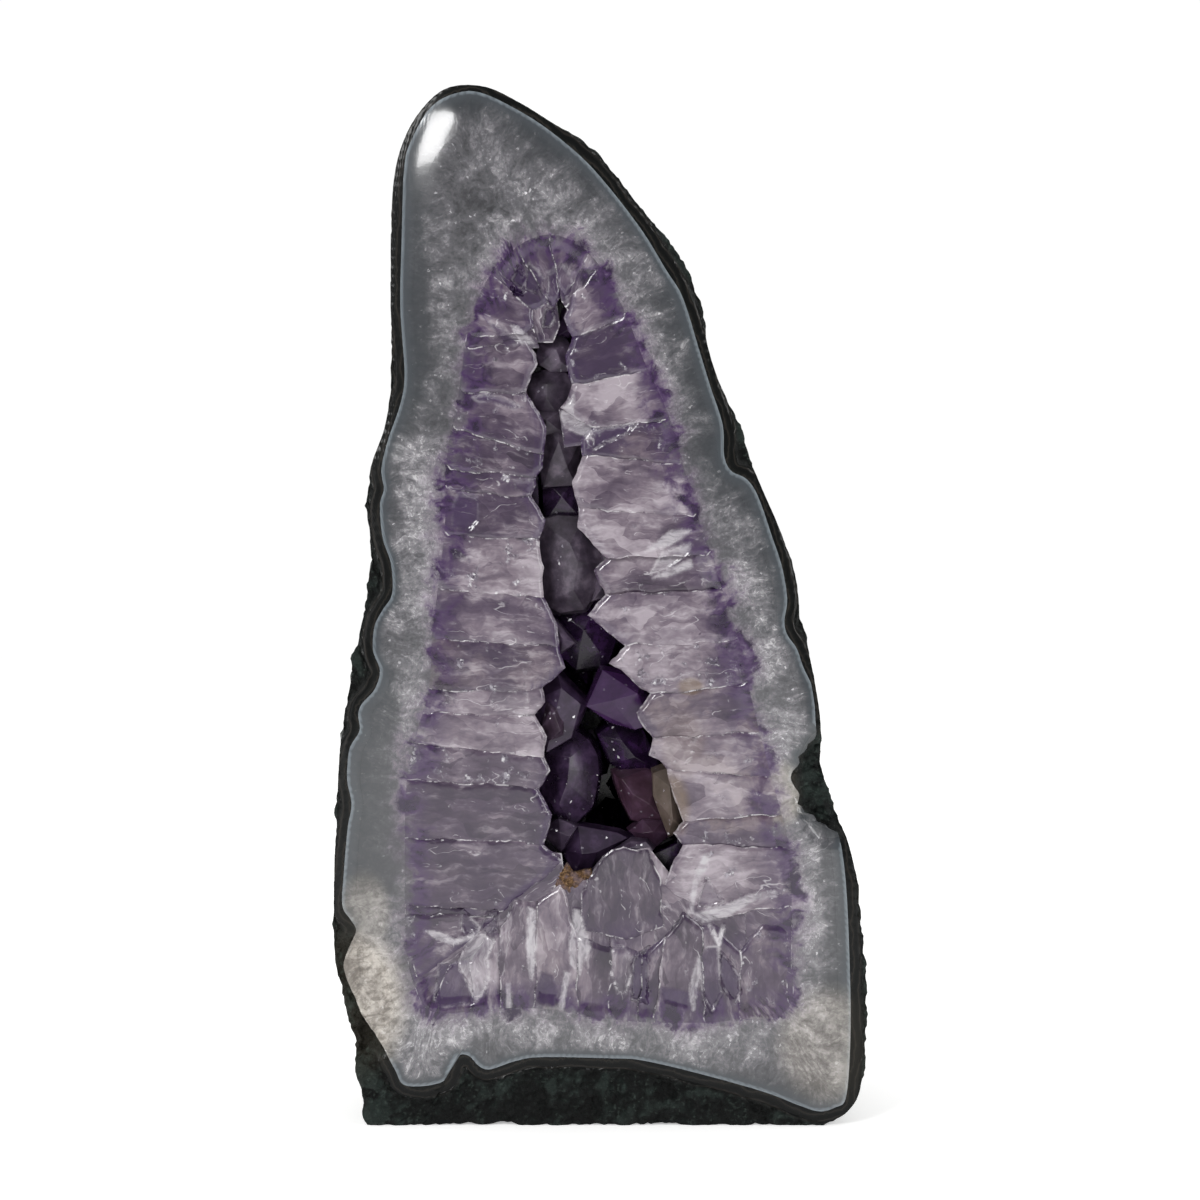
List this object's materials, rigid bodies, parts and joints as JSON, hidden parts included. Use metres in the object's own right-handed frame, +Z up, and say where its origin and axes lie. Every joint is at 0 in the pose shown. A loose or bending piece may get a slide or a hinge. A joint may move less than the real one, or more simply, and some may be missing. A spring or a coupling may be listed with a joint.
{
  "type": "amethyst geode",
  "caption": "Tall amethyst geode sawn open down its front: dark rind, grey agate band, frosty quartz, and purple crystals pointing into a deep hollow; flat foot.",
  "frame": {"origin": "middle of the flat foot: bottom centre of the geode's box", "axes": "+Z up, -Y out of the sawn polished face, +X to the right of someone looking at that face"},
  "size_m": [0.1948, 0.146, 0.3788],
  "materials": {
    "basalt": "rough, weathered, dark green-black",
    "agate": "sawn and polished, faintly see-through grey",
    "quartz": "sawn and polished, frosty with white streaks",
    "amethyst": "sawn and polished hazy crystal, lilac to violet",
    "deep_amethyst": "natural crystal faces, glossy deep purple",
    "iron_oxide": "dull, grainy rust-brown crust"
  },
  "bodies": {
    "root": {"agate_band": "agate", "arch_crystal": "amethyst", "basalt_rind": "basalt", "cavity_druse": "deep_amethyst", "corner_crystal": "amethyst", "floor_crystal_01": "amethyst", "floor_crystal_02": "amethyst", "floor_crystal_03": "amethyst", "floor_crystal_04": "amethyst", "floor_crystal_05": "amethyst", "floor_crystal_06": "amethyst", "floor_crystal_07": "amethyst", "floor_crystal_08": "amethyst", "floor_crystal_09": "amethyst", "floor_crystal_10": "amethyst", "iron_crust": "iron_oxide", "left_crystal_01": "amethyst", "left_crystal_02": "amethyst", "left_crystal_03": "amethyst", "left_crystal_04": "amethyst", "left_crystal_05": "amethyst", "left_crystal_06": "amethyst", "left_crystal_07": "amethyst", "left_crystal_08": "amethyst", "left_crystal_09": "amethyst", "left_crystal_10": "amethyst", "left_crystal_11": "amethyst", "left_crystal_12": "amethyst", "left_crystal_13": "amethyst", "quartz_bed": "quartz", "right_crystal_01": "amethyst", "right_crystal_02": "amethyst", "right_crystal_03": "amethyst", "right_crystal_04": "amethyst", "right_crystal_05": "amethyst", "right_crystal_06": "amethyst", "right_crystal_07": "amethyst", "right_crystal_08": "amethyst", "right_crystal_09": "amethyst", "right_crystal_10": "amethyst", "right_crystal_11": "amethyst", "right_crystal_12": "amethyst", "right_crystal_13": "amethyst", "right_crystal_14": "amethyst", "roof_crystal_01": "amethyst", "roof_crystal_02": "amethyst", "roof_crystal_03": "amethyst", "roof_crystal_04": "amethyst"}
  },
  "joints": []
}
